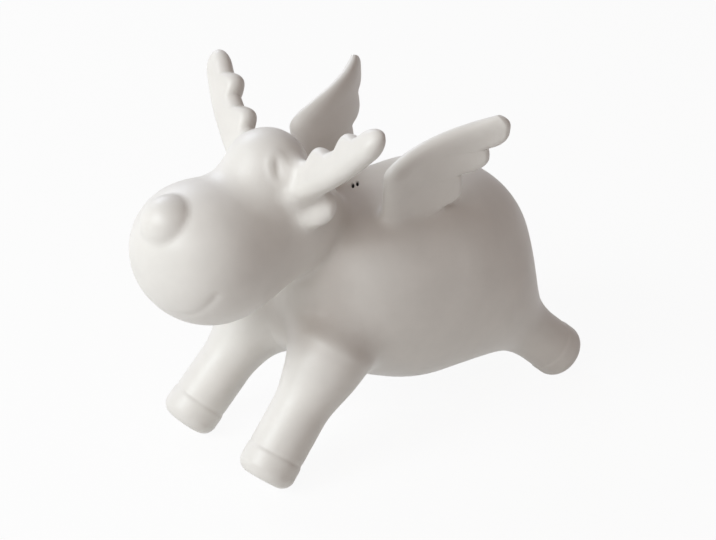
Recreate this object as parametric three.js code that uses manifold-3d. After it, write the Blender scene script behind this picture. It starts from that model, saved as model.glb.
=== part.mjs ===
// A plump winged reindeer in a flying leap, in white bisque porcelain.
// The body and the head are hollow slip castings. The antlers, ears, nose, wings, legs and tail are
// pressed in moulds by themselves, coped to the castings and luted on with a film of slip.
// Millimetres, +Z up. The nose points along -Y and the animal's left side is +X.
// The origin is on the ground, under the middle of the figure's length.
// A seat or a way is a bearing from straight ahead towards the animal's left and a height, in degrees.

import * as THREE from "three";
import { mergeVertices } from "three/addons/utils/BufferGeometryUtils.js";
import Module from "manifold-3d";

const wasm = await Module();
wasm.setup();

// Clay
const castWall = 3.2; // wall of the two slip castings
const slipGap = 0.3; // room for the film of slip in every joint
const ventBore = 3; // lets the head's air out through the body when it is fired
const threadHole = 0.9; // diameter of the two holes for a hanging thread
const threadHolePitch = 1.7;
const threadHoleForward = 18.9; // ahead of the middle of the barrel

// Body: a barrel with a chest before it
const barrelLength = 66;
const barrelWidth = 52;
const barrelHeight = 57;
const bellyClearance = 5.8; // from the ground to the barrel
const chestLength = 50;
const chestWidth = 46;
const chestHeight = 49;
const chestForward = 17.3; // from the middle of the barrel
const chestRise = 4;
const bodyBlend = 5; // reach over which the barrel and the chest flow together

// Head: a thick neck, a round muzzle before it and a cranium on top
const neckLength = 44;
const neckWidth = 27;
const neckHeight = 28;
const neckForward = 29.2; // from the middle of the chest
const neckRise = 20.7;
const neckFillet = 8; // how far from the body the slip fillet starts
const muzzleLength = 36.5;
const muzzleWidth = 35.2;
const muzzleHeight = 33.8;
const muzzlePitch = 35; // degrees, its long way up towards the nose
const muzzleForward = 16.1; // from the middle of the neck
const muzzleDrop = 0.8;
const craniumSize = 20;
const craniumBack = 1.5; // from the middle of the neck
const craniumRise = 15;
const headBlend = 7; // reach over which the masses of the head flow together

// Face
const noseSize = 13.6;
const noseSeat = [6, 46.5]; // seen from the middle of the muzzle
const noseSink = 3.6; // how far the middle of the nose lies inside the muzzle's surface
const noseFillet = 1.2;
const eyeSeat = [72, 26]; // seen from the middle of the cranium
const eyeWidth = 4.2; // of the rim's middle line
const eyeHeight = 6.6;
const eyeRim = 1.2; // thickness of the rim
const eyeSink = 0.4; // how far the rim's middle line lies inside the cranium
const pupilWidth = 1.7;
const pupilHeight = 3.8;
const pupilDepth = 0.9;
const smileEnd = [59, 0]; // seen from the middle of the muzzle
const smileMiddle = -30; // height of the smile under the nose, in degrees
const smileBend = 4; // power of the curve: higher keeps it flat for longer
const smileWidth = 1.5;
const smileDepth = 0.45;

// Antlers: a palm with two tines on its upper edge
const antlerSeat = [98, -1]; // seen from the middle of the cranium
const antlerWay = [108, 37.5];
const antlerLength = 29.3;
const antlerRoll = -35; // degrees, turns the tines back
const antlerRootWidth = 9.6;
const antlerTipWidth = 6.4;
const antlerThickness = 5.2;
const antlerSag = 1.4; // how far the palm's middle line hangs below a straight one
const antlerEnd = 4.8; // length of the round end
const antlerSink = 5; // how far the root goes on inside the head before it is coped
const antlerFillet = 3;
const tineHeight = 2;
const tineWidth = 7;
const tinePlaces = [8.8, 19.6]; // along the antler from its root

// Ears
const earSeat = [107, -20]; // seen from the middle of the cranium
const earWay = [108, -38];
const earRoll = -20; // degrees, turns its upper edge back
const earLength = 8.2;
const earRootWidth = 6.8;
const earWidth = 8;
const earThickness = 4.6;
const earEnd = 5; // length of the round end
const earSink = 4;
const earFillet = 2.5;

// Wings: three lapped feathers behind a thick leading edge, set by hand a little differently on each side
const leftWingAcross = 12.3; // places of the front corner of the root
const leftWingForward = 20.1; // from the middle of the barrel
const leftWingDepth = 2.3; // inside the body
const leftWingLean = 16; // degrees outwards at the top
const leftWingPitch = -3; // degrees, the tip down
const rightWingAcross = 15.6;
const rightWingForward = 24.2;
const rightWingDepth = -3.1;
const rightWingLean = 5;
const rightWingPitch = 3;
const wingToe = -5; // degrees outwards at the rear of the root
const wingCup = 44; // degrees that the wing turns further outwards from its front to its tip
const wingRise = 27.2;
const wingElbowRise = 19.6;
const wingElbowForward = 3.2;
const wingTipBack = 25.6;
const wingElbowRound = 10; // length of the top edge that the rounded elbow takes
const wingTipRound = 2.5; // height of the round end
const wingRootChord = 9; // length of the coped root
const wingRootRise = 5; // where the lower feather has left the root
const featherRise = [10.8, 18]; // heights of the steps between the feathers
const featherReach = [20.6, 25.6, 29]; // how far back each feather ends
const featherNotch = 1;
const featherTuck = 4; // power of the curve that draws a feather's upper corner in
const featherSpring = 4; // height over which a feather swells out of its step
const wingLeadThickness = 5;
const wingTrailThickness = 2.6;
const wingSink = 6; // how far the root goes on inside the body before it is coped
const wingFillet = 3.5;

// Legs
const hoofRadius = 7.2;
const hoofHeight = 7;
const hoofEdge = 3.2; // rounding of the sole's rim
const hoofGroove = 0.35; // depth of the groove above the hoof
const shankRadius = 7;
const shankLength = 18; // from the sole to where the thigh starts to swell
const thighRadius = 9.6;
const thighSwell = 15; // length over which the shank swells to the thigh
const thighDome = 4.5; // height of the rounded top inside the shoulder or haunch
const frontLegFillet = 8;
const rearLegFillet = 8;
const groundFlat = 0.6; // ground off the heel of every hoof so that it stands level
const frontHipAcross = 14;
const frontHipForward = 37; // from the middle of the barrel
const frontHipDrop = 5.7;
const frontLeftStride = 23.6; // from the hip to the sole
const frontRightStride = 24.5;
const frontLeftSpread = 16.8; // from the middle to the sole
const frontRightSpread = 15.6;
const rearHipAcross = 13;
const rearHipBack = 12.7;
const rearHipDrop = 7.8;
const rearStride = 24;
const rearSpread = 19.5;

// Tail
const tailSeat = [180, 2]; // seen from the middle of the barrel
const tailWay = [180, 16];
const tailLength = 4;
const tailRadius = 2.8;
const tailSink = 4;
const tailFillet = 3;

// Facets
const castingSides = 34;
const castingRings = 24;
const hollowSides = 20;
const hollowRings = 14;
const limbSides = 18;
const boreSides = 10;
const rimSides = 6;
const rimSteps = 14;
const bladeSteps = 24;
const legSteps = 9;
const edgeSteps = 3; // along a quarter of a blade's round edge
const faceSteps = 3; // across a blade's face
const outlineSteps = 60; // along each edge of a wing
const springShares = [0, 0.08, 0.33]; // where the swelling of a feather takes rings of its own
const smileSteps = 18;
const crowding = 1.6; // power that draws a limb's rings together towards its round end
const endLeft = 0.14; // share of the section left at the very end of a round end
const edgeShare = 0.45; // most of a blade's chord that one round edge may take
const passes = 40; // steps of a search for a point
const filletPasses = 14;
const filletSwell = 0.25; // most that a root swells by, as a share of its fillet's reach
const filletFade = 0.3; // share of the reach over which the swelling dies away inside the casting
const weld = 1e-4; // distance at which vertices are one

const degrees = Math.PI / 180;
const { Vector3 } = THREE;

// A closed geometry with one vertex at each corner.
function welded(geometry) {
  geometry.deleteAttribute("normal");
  geometry.deleteAttribute("uv");
  return mergeVertices(geometry, weld);
}

// A welded geometry as a solid that can be joined and cut.
function solidOf(geometry) {
  const vertProperties = geometry.attributes.position.array;
  const triVerts = new Uint32Array(geometry.index.array);
  return new wasm.Manifold(new wasm.Mesh({ numProp: 3, vertProperties, triVerts }));
}

function geometryOf(solid) {
  const mesh = solid.getMesh();
  const geometry = new THREE.BufferGeometry();
  geometry.setAttribute("position", new THREE.BufferAttribute(mesh.vertProperties, 3));
  geometry.setIndex(new THREE.BufferAttribute(mesh.triVerts, 1));
  return geometry;
}

// Moves a welded geometry's surface outwards by an amount worked out at each vertex.
function swelled(geometry, amount) {
  const moved = geometry.clone();
  moved.computeVertexNormals();
  const { position, normal } = moved.attributes;
  for (let i = 0; i < position.count; i++) {
    const point = new Vector3().fromBufferAttribute(position, i);
    const out = new Vector3().fromBufferAttribute(normal, i);
    point.addScaledVector(out, amount(point, out));
    position.setXYZ(i, point.x, point.y, point.z);
  }
  moved.deleteAttribute("normal");
  return moved;
}

// Skins a row of rings, each turning right-handed about the way the row runs, and closes both ends.
function skin(rings) {
  const sides = rings[0].length;
  const points = rings.flat();
  const middle = (ring) => ring.reduce((sum, p) => sum.add(p), new Vector3()).divideScalar(sides);
  const index = [];
  const at = (ring, k) => ring * sides + (k % sides);
  for (let i = 0; i + 1 < rings.length; i++) {
    for (let k = 0; k < sides; k++) {
      index.push(at(i, k), at(i, k + 1), at(i + 1, k + 1));
      index.push(at(i, k), at(i + 1, k + 1), at(i + 1, k));
    }
  }
  const last = rings.length - 1;
  const start = points.push(middle(rings[0])) - 1;
  const end = points.push(middle(rings[last])) - 1;
  for (let k = 0; k < sides; k++) {
    index.push(start, at(0, k + 1), at(0, k));
    index.push(end, at(last, k), at(last, k + 1));
  }
  const geometry = new THREE.BufferGeometry().setFromPoints(points);
  geometry.setIndex(index);
  return geometry;
}

// The same rings on the animal's other side.
function mirrored(rings) {
  return rings.map((ring) => ring.map((p) => new Vector3(-p.x, p.y, p.z)).reverse());
}

// The direction of a bearing and a height.
function way([bearing, height]) {
  const level = Math.cos(height * degrees);
  const across = Math.sin(bearing * degrees) * level;
  const ahead = Math.cos(bearing * degrees) * level;
  return new Vector3(across, -ahead, Math.sin(height * degrees));
}

// An ellipsoid of a casting, by its middle, its full sizes across, along and up, and its pitch.
function mass(middle, width, length, height, pitch = 0) {
  return { middle, half: new Vector3(width, length, height).divideScalar(2), pitch };
}

// About how far a point lies outside an ellipsoid.
function beyond(point, { middle, half, pitch }) {
  const arm = point.clone().sub(middle).applyAxisAngle(new Vector3(1, 0, 0), pitch * degrees);
  const share = arm.divide(half).length();
  const slope = arm.divide(half).length();
  return slope === 0 ? -half.length() : (share * (share - 1)) / slope;
}

// A casting is a row of overlapping ellipsoids that flow together. This is how far a point lies outside it.
function outside({ masses, reach }, point) {
  return masses
    .map((part) => beyond(point, part))
    .reduce((a, b) => Math.min(a, b) - (reach / 4) * Math.max(0, 1 - Math.abs(a - b) / reach) ** 2);
}

// A casting's radius in a direction from its origin.
function radius(casting, direction) {
  let inner = 0;
  let outer = barrelLength + neckLength + muzzleLength;
  for (let pass = 0; pass < passes; pass++) {
    const middle = (inner + outer) / 2;
    const point = casting.origin.clone().addScaledVector(direction, middle);
    if (outside(casting, point) < 0) inner = middle;
    else outer = middle;
  }
  return inner;
}

// Where a line from a point inside a casting comes out of it.
function surfacePoint(casting, from, direction) {
  const point = from.clone();
  for (let pass = 0; pass < passes; pass++) {
    point.addScaledVector(direction, -outside(casting, point));
  }
  return point;
}

function castingGeometry(casting, offset, sides, rings) {
  const geometry = new THREE.SphereGeometry(1, sides, rings);
  const position = geometry.attributes.position;
  const point = new Vector3();
  for (let i = 0; i < position.count; i++) {
    point.fromBufferAttribute(position, i).normalize();
    point.multiplyScalar(radius(casting, point) + offset).add(casting.origin);
    position.setXYZ(i, point.x, point.y, point.z);
  }
  return welded(geometry);
}

// Swells the root of a piece where it nears a casting, as the slip sponged round a joint does.
function filleted(geometry, casting, reach) {
  return swelled(geometry, (point, out) => {
    const depth = -outside(casting, point) / reach;
    let least = 0;
    let most = filletSwell * reach * THREE.MathUtils.clamp(1 - depth / filletFade, 0, 1);
    for (let pass = 0; pass < filletPasses; pass++) {
      const swell = (least + most) / 2;
      const gap = outside(casting, point.clone().addScaledVector(out, swell));
      if (Math.sqrt(swell) + Math.sqrt(Math.max(0, gap)) < Math.sqrt(reach)) least = swell;
      else most = swell;
    }
    return least;
  });
}

// A round bar between two points.
function bar(from, to, diameter) {
  const axis = to.clone().sub(from);
  const geometry = new THREE.CylinderGeometry(diameter / 2, diameter / 2, axis.length(), boreSides);
  const turn = new THREE.Quaternion().setFromUnitVectors(new Vector3(0, 1, 0), axis.normalize());
  geometry.applyQuaternion(turn).translate(...from.clone().lerp(to, 0.5).toArray());
  return solidOf(welded(geometry));
}

// Middles of the main masses
const barrelMiddle = new Vector3(0, 0, bellyClearance + barrelHeight / 2);
const chestMiddle = barrelMiddle.clone().add(new Vector3(0, -chestForward, chestRise));
const neckMiddle = chestMiddle.clone().add(new Vector3(0, -neckForward, neckRise));
const muzzleMiddle = neckMiddle.clone().add(new Vector3(0, -muzzleForward, -muzzleDrop));
const craniumMiddle = neckMiddle.clone().add(new Vector3(0, craniumBack, craniumRise));

// Body
const bodyCasting = {
  origin: barrelMiddle.clone().add(new Vector3(0, -chestForward / 2, 0)),
  masses: [
    mass(barrelMiddle, barrelWidth, barrelLength, barrelHeight),
    mass(chestMiddle, chestWidth, chestLength, chestHeight),
  ],
  reach: bodyBlend,
};
const bodySeat = solidOf(castingGeometry(bodyCasting, slipGap, castingSides, castingRings));
let bodySolid = solidOf(castingGeometry(bodyCasting, 0, castingSides, castingRings));
bodySolid = bodySolid.subtract(solidOf(castingGeometry(bodyCasting, -castWall, hollowSides, hollowRings)));
bodySolid = bodySolid.subtract(bar(bodyCasting.origin, neckMiddle, ventBore));
for (const side of [-1, 1]) {
  const under = barrelMiddle.clone();
  under.y = -threadHoleForward + (side * threadHolePitch) / 2;
  const over = under.clone().add(new Vector3(0, 0, barrelHeight));
  bodySolid = bodySolid.subtract(bar(under, over, threadHole));
}

// Head
const headCasting = {
  origin: muzzleMiddle.clone().add(craniumMiddle).add(neckMiddle).divideScalar(3),
  masses: [
    mass(muzzleMiddle, muzzleWidth, muzzleLength, muzzleHeight, muzzlePitch),
    mass(neckMiddle, neckWidth, neckLength, neckHeight),
    mass(craniumMiddle, craniumSize, craniumSize, craniumSize),
  ],
  reach: headBlend,
};
const headSeat = solidOf(castingGeometry(headCasting, slipGap, castingSides, castingRings));
const headGeometry = castingGeometry(headCasting, 0, castingSides, castingRings);
let headSolid = solidOf(filleted(headGeometry, bodyCasting, neckFillet));
headSolid = headSolid.subtract(solidOf(castingGeometry(headCasting, -castWall, hollowSides, hollowRings)));
headSolid = headSolid.subtract(bodySeat);

// Eyes: an oval rim round a pressed dimple
for (const side of [-1, 1]) {
  const out = way([side * eyeSeat[0], eyeSeat[1]]);
  const up = new Vector3(0, 0, 1).addScaledVector(out, -out.z).normalize();
  const place = new THREE.Matrix4().makeBasis(up.clone().cross(out), up, out);
  place.setPosition(surfacePoint(headCasting, craniumMiddle, out));
  const rim = new THREE.TorusGeometry(1, eyeRim / eyeWidth, rimSides, rimSteps);
  rim.scale(eyeWidth / 2, eyeHeight / 2, eyeWidth / 2).translate(0, 0, -eyeSink).applyMatrix4(place);
  const dimple = new THREE.SphereGeometry(1, rimSteps, boreSides);
  dimple.scale(pupilWidth / 2, pupilHeight / 2, pupilDepth).applyMatrix4(place);
  headSolid = headSolid.add(solidOf(welded(rim))).subtract(solidOf(welded(dimple)));
}

// A ring of a round limb about a point of its axis.
function roundRing(middle, across, other, size, sides) {
  return Array.from({ length: sides }, (_, k) => {
    const angle = (2 * Math.PI * k) / sides;
    return middle
      .clone()
      .addScaledVector(across, size * Math.cos(angle))
      .addScaledVector(other, size * Math.sin(angle));
  });
}

// Smile: a shallow groove round the muzzle
function smileGroove() {
  const spot = (turn) => {
    const height = smileMiddle + (smileEnd[1] - smileMiddle) * Math.abs(turn) ** smileBend;
    const out = way([turn * smileEnd[0], height]);
    const lift = smileWidth / 2 - smileDepth;
    return { out, middle: surfacePoint(headCasting, muzzleMiddle, out).addScaledVector(out, lift) };
  };
  const rings = [];
  for (let k = 0; k <= smileSteps; k++) {
    const turn = (2 * k) / smileSteps - 1;
    const { out, middle } = spot(turn);
    const along = spot(turn + 1 / smileSteps).middle.sub(spot(turn - 1 / smileSteps).middle).normalize();
    const across = out.addScaledVector(along, -out.dot(along)).normalize();
    rings.push(roundRing(middle, across, along.cross(across), smileWidth / 2, rimSides));
  }
  return solidOf(skin(rings));
}
headSolid = headSolid.subtract(smileGroove());

// Nose
const noseOut = way(noseSeat);
const noseGeometry = new THREE.SphereGeometry(noseSize / 2, limbSides, boreSides);
const noseMiddle = surfacePoint(headCasting, muzzleMiddle, noseOut).addScaledVector(noseOut, -noseSink);
noseGeometry.translate(...noseMiddle.toArray());
const noseSolid = solidOf(filleted(welded(noseGeometry), headCasting, noseFillet)).subtract(headSeat);

// Places along a limb, drawn together towards its end.
function stations(from, to, steps) {
  const share = (k) => 1 - (1 - k / steps) ** crowding;
  return Array.from({ length: steps + 1 }, (_, k) => from + (to - from) * share(k));
}

// The share of a limb's section that its round end leaves at a place along it.
function endRound(along, length, end) {
  const into = Math.max(0, along - length + end) / end;
  return Math.sqrt(Math.max(endLeft ** 2, 1 - into ** 2));
}

function roundLimb(from, axis, profile) {
  const across = new Vector3(1, 0, 0).addScaledVector(axis, -axis.x).normalize();
  const other = axis.clone().cross(across);
  return profile.map(([size, along]) =>
    roundRing(from.clone().addScaledVector(axis, along), across, other, size, limbSides),
  );
}

// Legs: a revolved profile from the sole up into the body
function legRings(hip, stride, spread) {
  const sole = new Vector3(spread, hip.y + stride, 0);
  const axis = new Vector3();
  for (let pass = 0; pass < passes; pass++) {
    axis.copy(hip).sub(sole).normalize();
    const tilt = Math.sqrt(1 - axis.z ** 2);
    sole.z = (hoofRadius - hoofEdge) * tilt + hoofEdge * (1 - axis.z) - groundFlat;
  }
  const length = hip.distanceTo(sole);
  const profile = [];
  for (let k = 0; k <= edgeSteps; k++) {
    const turn = (Math.PI / 2) * (k / edgeSteps);
    profile.push([hoofRadius - hoofEdge * (1 - Math.sin(turn)), hoofEdge * (1 - Math.cos(turn))]);
  }
  profile.push([hoofRadius, hoofHeight - hoofGroove]);
  profile.push([shankRadius - hoofGroove, hoofHeight]);
  for (let k = 0; k <= legSteps; k++) {
    const along = hoofHeight + hoofGroove + ((length - hoofHeight - hoofGroove) * k) / legSteps;
    const swell = THREE.MathUtils.smoothstep(along, shankLength, shankLength + thighSwell);
    profile.push([shankRadius + (thighRadius - shankRadius) * swell, along]);
  }
  for (let k = 1; k < edgeSteps; k++) {
    const turn = (Math.PI / 2) * (k / edgeSteps);
    profile.push([thighRadius * Math.cos(turn), length + thighDome * Math.sin(turn)]);
  }
  return roundLimb(sole, axis, profile);
}

// A ring across a flat blade, from its lead edge over one face to its trail edge and back.
// place(s, h) sets a point s along the blade's chord and h out of its face.
function bladeRing(lead, trail, leadThickness, trailThickness, place) {
  const chord = trail - lead;
  const a = Math.min(leadThickness / 2, chord * edgeShare);
  const b = Math.min(trailThickness / 2, chord * edgeShare);
  const face = [];
  for (let k = 0; k <= edgeSteps; k++) {
    const turn = (Math.PI / 2) * (k / edgeSteps);
    face.push([lead + a - a * Math.cos(turn), a * Math.sin(turn)]);
  }
  for (let k = 1; k < faceSteps; k++) {
    const share = k / faceSteps;
    face.push([lead + a + (chord - a - b) * share, a + (b - a) * share]);
  }
  for (let k = edgeSteps; k >= 0; k--) {
    const turn = (Math.PI / 2) * (k / edgeSteps);
    face.push([trail - b + b * Math.cos(turn), b * Math.sin(turn)]);
  }
  const back = face.slice(1, -1).reverse();
  return [...face.map(([s, h]) => place(s, h)), ...back.map(([s, h]) => place(s, -h))];
}

// Antlers
function antlerRings() {
  const root = surfacePoint(headCasting, craniumMiddle, way(antlerSeat));
  const axis = way(antlerWay);
  const up = new Vector3(0, 0, 1).addScaledVector(axis, -axis.z).normalize();
  up.applyAxisAngle(axis, antlerRoll * degrees);
  const normal = up.clone().cross(axis);
  return stations(-antlerSink, antlerLength, bladeSteps).map((along) => {
    const share = Math.max(0, along / antlerLength);
    const end = endRound(along, antlerLength, antlerEnd);
    const half = ((antlerRootWidth + (antlerTipWidth - antlerRootWidth) * share) / 2) * end;
    const tine = tinePlaces.reduce((sum, place) => {
      const off = Math.min(1, Math.abs(along - place) / (tineWidth / 2));
      return sum + tineHeight * Math.cos((Math.PI / 2) * off);
    }, 0);
    const middle = root.clone().addScaledVector(axis, along);
    middle.addScaledVector(up, -antlerSag * Math.sin(Math.PI * share));
    const place = (s, h) => middle.clone().addScaledVector(up, s).addScaledVector(normal, h);
    const thickness = antlerThickness * end;
    return bladeRing(-half, half + tine, thickness, thickness, place);
  });
}

// Ears
function earRings() {
  const root = surfacePoint(headCasting, craniumMiddle, way(earSeat));
  const axis = way(earWay);
  const up = new Vector3(0, 0, 1).addScaledVector(axis, -axis.z).normalize();
  up.applyAxisAngle(axis, earRoll * degrees);
  const normal = up.clone().cross(axis);
  return stations(-earSink, earLength, legSteps).map((along) => {
    const end = endRound(along, earLength, earEnd);
    const grown = THREE.MathUtils.smoothstep(along, 0, earLength - earEnd);
    const half = ((earRootWidth + (earWidth - earRootWidth) * grown) / 2) * end;
    const middle = root.clone().addScaledVector(axis, along);
    const place = (s, h) => middle.clone().addScaledVector(up, s).addScaledVector(normal, h);
    return bladeRing(-half, half, earThickness * end, earThickness * end, place);
  });
}

// A wing's leading and trailing edges, as how far back each lies at a height above the root.
function wingEdges(height) {
  const upright = (-wingElbowForward * height) / wingElbowRise;
  const slope = (wingTipBack + wingElbowForward) / (wingRise - wingElbowRise);
  const sloping = (height - wingElbowRise) * slope - wingElbowForward;
  const near = Math.max(0, 1 - Math.abs(upright - sloping) / wingElbowRound);
  const lead = Math.max(upright, sloping) + (wingElbowRound / 4) * near ** 2;
  const feather = featherRise.filter((step) => height > step).length;
  const floor = feather ? featherRise[feather - 1] : 0;
  const ceiling = feather < featherRise.length ? featherRise[feather] : wingRise;
  const before = feather ? featherReach[feather - 1] - featherNotch : wingRootChord;
  const spring = THREE.MathUtils.clamp((height - floor) / (feather ? featherSpring : wingRootRise), 0, 1);
  const swell = (featherReach[feather] - before) * Math.sqrt(1 - (1 - spring) ** 2);
  const share = Math.max(0, (height - floor) / (ceiling - floor));
  const trail = before + swell - featherNotch * share ** featherTuck;
  const middle = (lead + trail) / 2;
  const half = Math.max(trail - lead, wingTrailThickness) / 2;
  const end = half * endRound(height, wingRise, wingTipRound);
  return [middle - end, middle + end];
}

// Points all along both edges, in the same measures.
function wingOutline() {
  const heights = stations(-wingSink, wingRise, outlineSteps);
  return [0, 1].map((k) => heights.map((height) => new THREE.Vector2(wingEdges(height)[k], height)));
}

// Half of a wing's thickness at a place. The edges are round all along the outline.
function wingHalf(outline, back, height) {
  const spot = new THREE.Vector2(back, height);
  let near = Infinity;
  for (const edge of outline) {
    for (let k = 0; k + 1 < edge.length; k++) {
      const run = edge[k + 1].clone().sub(edge[k]);
      const share = THREE.MathUtils.clamp(spot.clone().sub(edge[k]).dot(run) / run.lengthSq(), 0, 1);
      near = Math.min(near, spot.distanceTo(run.multiplyScalar(share).add(edge[k])));
    }
  }
  const [lead, trail] = wingEdges(height);
  const share = (back - lead) / (trail - lead);
  const thickness = wingLeadThickness + (wingTrailThickness - wingLeadThickness) * share;
  const full = (thickness / 2) * endRound(height, wingRise, wingTipRound);
  return Math.sqrt(full ** 2 - Math.max(0, full - near) ** 2);
}

// Wings
function wingRings(across, forward, depth, lean, pitch) {
  const under = new Vector3(across, -forward, barrelMiddle.z);
  const root = surfacePoint(bodyCasting, under, new Vector3(0, 0, 1));
  root.z -= depth;
  const toe = wingToe * degrees;
  const rise = new Vector3(Math.cos(toe), -Math.sin(toe), 0).multiplyScalar(Math.sin(lean * degrees));
  rise.z = Math.cos(lean * degrees);
  const cup = (wingCup * degrees) / wingTipBack;
  const along = (angle) => new Vector3(Math.sin(angle), Math.cos(angle), 0);
  const outline = wingOutline();
  const corners = featherRise.flatMap((step) => springShares.map((share) => step + share * featherSpring));
  const heights = [...stations(-wingSink, wingRise, bladeSteps), ...corners].sort((a, b) => a - b);
  return heights.map((q) => {
    const [lead, trail] = wingEdges(q);
    const place = (s, h) => {
      const p = s * Math.cos(pitch * degrees) + q * Math.sin(pitch * degrees);
      const up = q * Math.cos(pitch * degrees) - s * Math.sin(pitch * degrees);
      const half = (cup * p) / 2;
      const straight = half === 0 ? p : (p * Math.sin(half)) / half;
      const normal = along(toe + 2 * half).cross(rise).normalize();
      const point = root.clone().addScaledVector(along(toe + half), straight).addScaledVector(rise, up);
      return point.addScaledVector(normal, Math.sign(h) * wingHalf(outline, s, q));
    };
    return bladeRing(lead, trail, wingLeadThickness, wingTrailThickness, place);
  });
}

// Tail
function tailRings() {
  const root = surfacePoint(bodyCasting, barrelMiddle, way(tailSeat));
  const profile = stations(-tailSink, tailLength, legSteps).map((along) => [
    tailRadius * endRound(along, tailLength, tailRadius),
    along,
  ]);
  return roundLimb(root, way(tailWay), profile);
}

// Assembly
const figure = new THREE.Group();

function addPiece(name, solid) {
  const bisque = new THREE.MeshStandardMaterial({ color: 0xe9e7e3, roughness: 0.5, metalness: 0 });
  const mesh = new THREE.Mesh(geometryOf(solid), bisque);
  mesh.name = name;
  figure.add(mesh);
}

const groundSpan = 4 * barrelLength;
const groundBlock = new THREE.BoxGeometry(groundSpan, groundSpan, groundSpan);
const ground = solidOf(welded(groundBlock.translate(0, 0, -groundSpan / 2)));
const rooted = (rings, casting, fillet) => filleted(skin(rings), casting, fillet);

function legSolid(rings, fillet) {
  return solidOf(rooted(rings, bodyCasting, fillet)).subtract(bodySeat).subtract(ground);
}

addPiece("body", bodySolid);
addPiece("head", headSolid);
addPiece("nose", noseSolid);
for (const [side, turned] of [["left", (rings) => rings], ["right", mirrored]]) {
  const left = side === "left";
  const antler = rooted(turned(antlerRings()), headCasting, antlerFillet);
  const antlerSeatSolid = solidOf(swelled(antler, () => slipGap));
  addPiece(side + "_antler", solidOf(antler).subtract(headSeat));
  const ear = solidOf(rooted(turned(earRings()), headCasting, earFillet));
  addPiece(side + "_ear", ear.subtract(headSeat).subtract(antlerSeatSolid));
  const wing = left
    ? wingRings(leftWingAcross, leftWingForward, leftWingDepth, leftWingLean, leftWingPitch)
    : wingRings(rightWingAcross, rightWingForward, rightWingDepth, rightWingLean, rightWingPitch);
  addPiece(side + "_wing", solidOf(rooted(turned(wing), bodyCasting, wingFillet)).subtract(bodySeat));
  const frontHip = barrelMiddle.clone().add(new Vector3(frontHipAcross, -frontHipForward, -frontHipDrop));
  const front = left
    ? legRings(frontHip, -frontLeftStride, frontLeftSpread)
    : legRings(frontHip, -frontRightStride, frontRightSpread);
  addPiece("front_" + side + "_leg", legSolid(turned(front), frontLegFillet));
  const rearHip = barrelMiddle.clone().add(new Vector3(rearHipAcross, rearHipBack, -rearHipDrop));
  const rear = legRings(rearHip, rearStride, rearSpread);
  addPiece("rear_" + side + "_leg", legSolid(turned(rear), rearLegFillet));
}
addPiece("tail", solidOf(rooted(tailRings(), bodyCasting, tailFillet)).subtract(bodySeat));

const box = new THREE.Box3().setFromObject(figure);
figure.position.y = -(box.min.y + box.max.y) / 2;

export default figure;
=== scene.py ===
import math

import bpy
import numpy as np
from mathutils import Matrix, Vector
from mathutils.bvhtree import BVHTree


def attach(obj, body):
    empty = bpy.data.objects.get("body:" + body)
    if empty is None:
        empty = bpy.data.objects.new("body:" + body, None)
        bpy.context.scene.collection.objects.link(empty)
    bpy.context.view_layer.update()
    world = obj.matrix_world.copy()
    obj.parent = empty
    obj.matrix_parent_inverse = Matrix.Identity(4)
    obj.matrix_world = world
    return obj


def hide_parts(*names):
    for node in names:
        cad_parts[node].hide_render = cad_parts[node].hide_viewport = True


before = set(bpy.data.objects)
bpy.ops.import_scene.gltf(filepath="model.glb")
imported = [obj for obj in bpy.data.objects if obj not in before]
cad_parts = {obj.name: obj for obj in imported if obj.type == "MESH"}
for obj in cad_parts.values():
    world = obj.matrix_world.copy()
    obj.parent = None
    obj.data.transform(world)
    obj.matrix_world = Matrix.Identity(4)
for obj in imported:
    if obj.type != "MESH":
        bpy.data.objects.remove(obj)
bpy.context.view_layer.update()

# A plump winged reindeer in a flying leap, in white bisque porcelain.
# Every piece is rebuilt here as a fine smooth mesh to much the same sizes as its solid, in millimetres,
# and the slip that is sponged round each joint flows from one piece into the other.
# The nose points along -Y, the animal's left side is +X, and a seat or a way is a bearing from
# straight ahead towards the left and a height, in degrees.

MM = 0.001
BARREL_BACK = 20.02  # from the frame's origin to the middle of the barrel

# Body
BARREL = (52, 66, 57)  # width, length and height
BELLY_CLEARANCE = 5.8  # from the ground
CHEST = (46, 50, 49)
CHEST_FORWARD = 17.3  # places run from mass to mass: barrel, chest, neck, then muzzle and cranium
CHEST_RISE = 4
BODY_BLEND = 5  # how far the barrel and the chest flow together
THREAD_HOLE = 0.6  # width
THREAD_HOLE_SLANT = 3.6  # how much longer than wide a hole is, along its needle's way
NEEDLE_BEARING = 232
THREAD_HOLE_PITCH = 1.4
THREAD_HOLE_FORWARD = 18.9  # ahead of the middle of the barrel
THREAD_HOLE_DEPTH = 3.2
THREAD_HOLE_RIM = 0.24  # width of its soft rim
THREAD_HOLE_PAINTED_SHADE = (0.2, 0.5)  # depths between which its wall is painted near black, as painted shade for the unlit hollow

# Head
NECK = (27, 44, 28)
NECK_FORWARD = 29.2
NECK_RISE = 20.7
MUZZLE = (35.2, 36.5, 33.8)
MUZZLE_PITCH = 35
MUZZLE_FORWARD = 16.1
MUZZLE_DROP = 0.8
CRANIUM = (20, 20, 20)
CRANIUM_BACK = 1.5
CRANIUM_RISE = 15
HEAD_BLEND = 7  # how far the muzzle, the neck and the cranium flow together

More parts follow.
